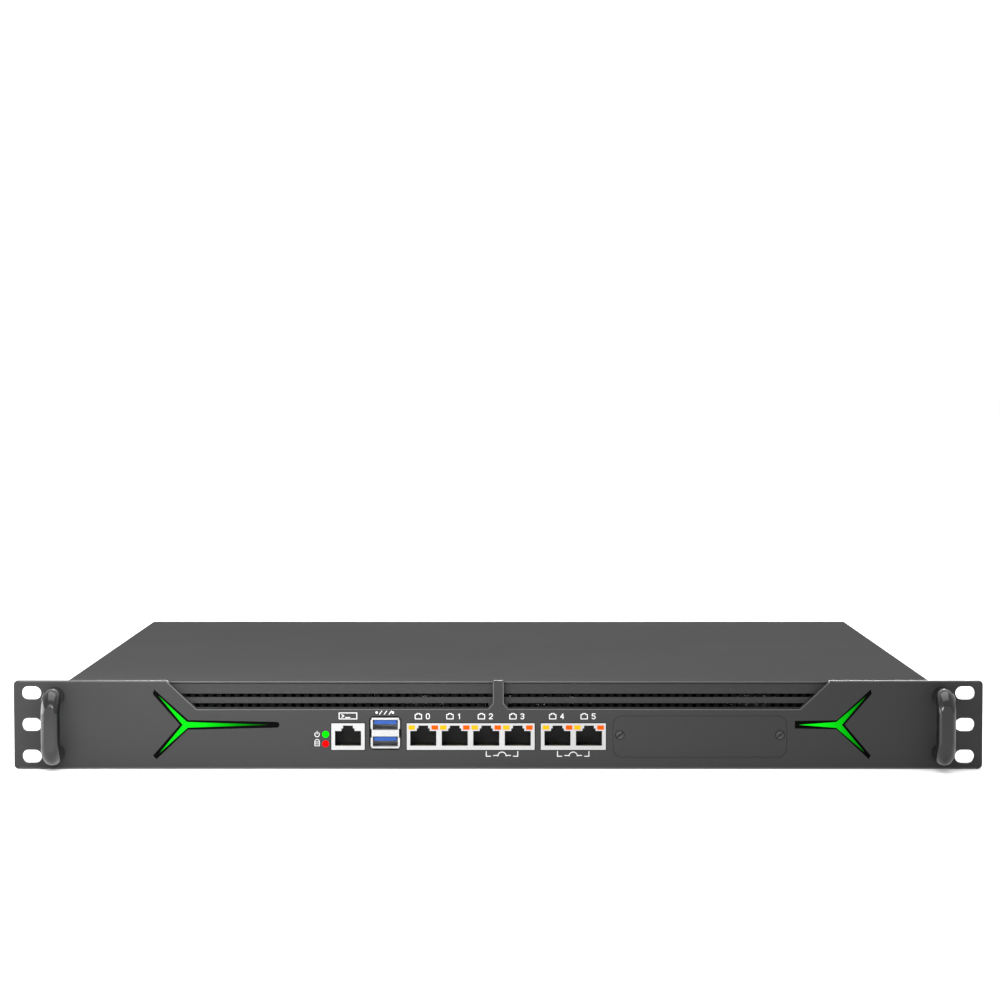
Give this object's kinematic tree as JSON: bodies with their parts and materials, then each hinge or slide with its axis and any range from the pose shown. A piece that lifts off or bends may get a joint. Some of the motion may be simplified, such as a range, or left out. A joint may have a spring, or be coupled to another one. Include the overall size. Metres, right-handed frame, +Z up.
{
  "type": "rack firewall appliance",
  "caption": "One-unit rack network appliance with handled front panel, network sockets, Y-shaped lights, rear fans, rocker switch and built-in mains supply.",
  "frame": {"origin": "under the middle of the bounding box, on the plane the chassis stands on", "axes": "+X to the right seen from the front, the front panel faces -Y, +Z up"},
  "size_m": [0.4826, 0.4246, 0.044],
  "materials": {
    "powder_coat": "fine textured dark grey powder coat",
    "mesh_dark": "dark coated perforated sheet",
    "handle_black": "satin black",
    "screw_steel": "zinc plated",
    "black_plastic": "fine matt",
    "dark_plastic": "fine matt",
    "guide_green": "lit light guide",
    "lamp_red": "lit light pipe",
    "lamp_yellow": "tinted window",
    "lamp_orange": "tinted window",
    "plated_steel": "bright plated",
    "blue_plastic": "moulded",
    "contact_gold": "gold plated",
    "circuit_board": "solder mask",
    "light_steel": "plain zinc",
    "light_plate": "light grey coat",
    "button_grey": "fine matt",
    "heatsink_aluminium": "extruded",
    "standoff_brass": "turned",
    "cable_sleeve": "soft",
    "drive_shell": "satin",
    "cell_steel": "bright"
  },
  "bodies": {
    "chassis": {"front_panel": "powder_coat", "vent_mesh": "mesh_dark", "handle_left": "handle_black", "handle_right": "handle_black", "handle_screws": "screw_steel", "blank_cover": "powder_coat", "blank_cover_screws": "screw_steel", "light_bezel_left": "black_plastic", "light_bezel_right": "black_plastic", "light_guide_left": "guide_green", "light_guide_right": "guide_green", "light_boards": "circuit_board", "power_pipe": "guide_green", "storage_pipe": "lamp_red", "console_socket": "plated_steel", "lan_block_four": "plated_steel", "lan_block_two": "plated_steel", "socket_inserts": "dark_plastic", "socket_contacts": "contact_gold", "link_lamps_yellow": "lamp_yellow", "link_lamps_orange": "lamp_orange", "usb_sockets": "plated_steel", "usb_tongues": "blue_plastic", "chassis_base": "powder_coat", "top_cover": "powder_coat", "io_plate": "powder_coat", "rear_screws": "screw_steel", "switch_body": "black_plastic", "antenna_plugs": "dark_plastic", "video_socket": "plated_steel", "video_tongue": "black_plastic", "video_screws": "screw_steel", "rear_io_board": "circuit_board", "fan_frame_left": "black_plastic", "fan_frame_middle": "black_plastic", "fan_frame_right": "black_plastic", "fan_cradle": "light_steel", "psu_case": "light_steel", "psu_vent_plate": "light_plate", "psu_bracket": "light_steel", "mains_inlet": "black_plastic", "inlet_pins": "plated_steel", "psu_screws": "screw_steel", "psu_fan_frame": "black_plastic", "psu_board": "circuit_board", "mainboard": "circuit_board", "board_standoffs": "standoff_brass", "board_screws": "screw_steel", "processor_heatsink": "heatsink_aluminium", "memory_module": "circuit_board", "coin_cell": "cell_steel", "solid_state_drive": "drive_shell", "drive_bracket": "light_steel", "internal_cables": "cable_sleeve"},
    "left_rotor": {"fan_rotor_left": "dark_plastic"},
    "middle_rotor": {"fan_rotor_middle": "dark_plastic"},
    "right_rotor": {"fan_rotor_right": "dark_plastic"},
    "psu_rotor": {"psu_fan_rotor": "dark_plastic"},
    "rocker": {"power_rocker": "black_plastic"},
    "button": {"reset_button": "button_grey"}
  },
  "joints": [
    {"name": "left_fan_spin", "type": "hinge", "parent": "chassis", "child": "left_rotor", "pos_m": [-0.03785, 0.19778, 0.0214], "axis": [0, 1, 0], "continuous": true},
    {"name": "middle_fan_spin", "type": "hinge", "parent": "chassis", "child": "middle_rotor", "pos_m": [0.0024, 0.19778, 0.0214], "axis": [0, 1, 0], "continuous": true},
    {"name": "right_fan_spin", "type": "hinge", "parent": "chassis", "child": "right_rotor", "pos_m": [0.04265, 0.19778, 0.0214], "axis": [0, 1, 0], "continuous": true},
    {"name": "psu_fan_spin", "type": "hinge", "parent": "chassis", "child": "psu_rotor", "pos_m": [-0.14825, 0.06638, 0.0218], "axis": [0, 1, 0], "continuous": true},
    {"name": "rocker_tip", "type": "hinge", "parent": "chassis", "child": "rocker", "pos_m": [0.1899, 0.20618, 0.0215], "axis": [1, 0, 0], "range_deg": [-18, 0]},
    {"name": "button_press", "type": "slide", "parent": "chassis", "child": "button", "axis": [0, -1, 0], "range_m": [0, 0.001], "stiffness_N_per_m": 400, "springref_m": -0.0005}
  ]
}
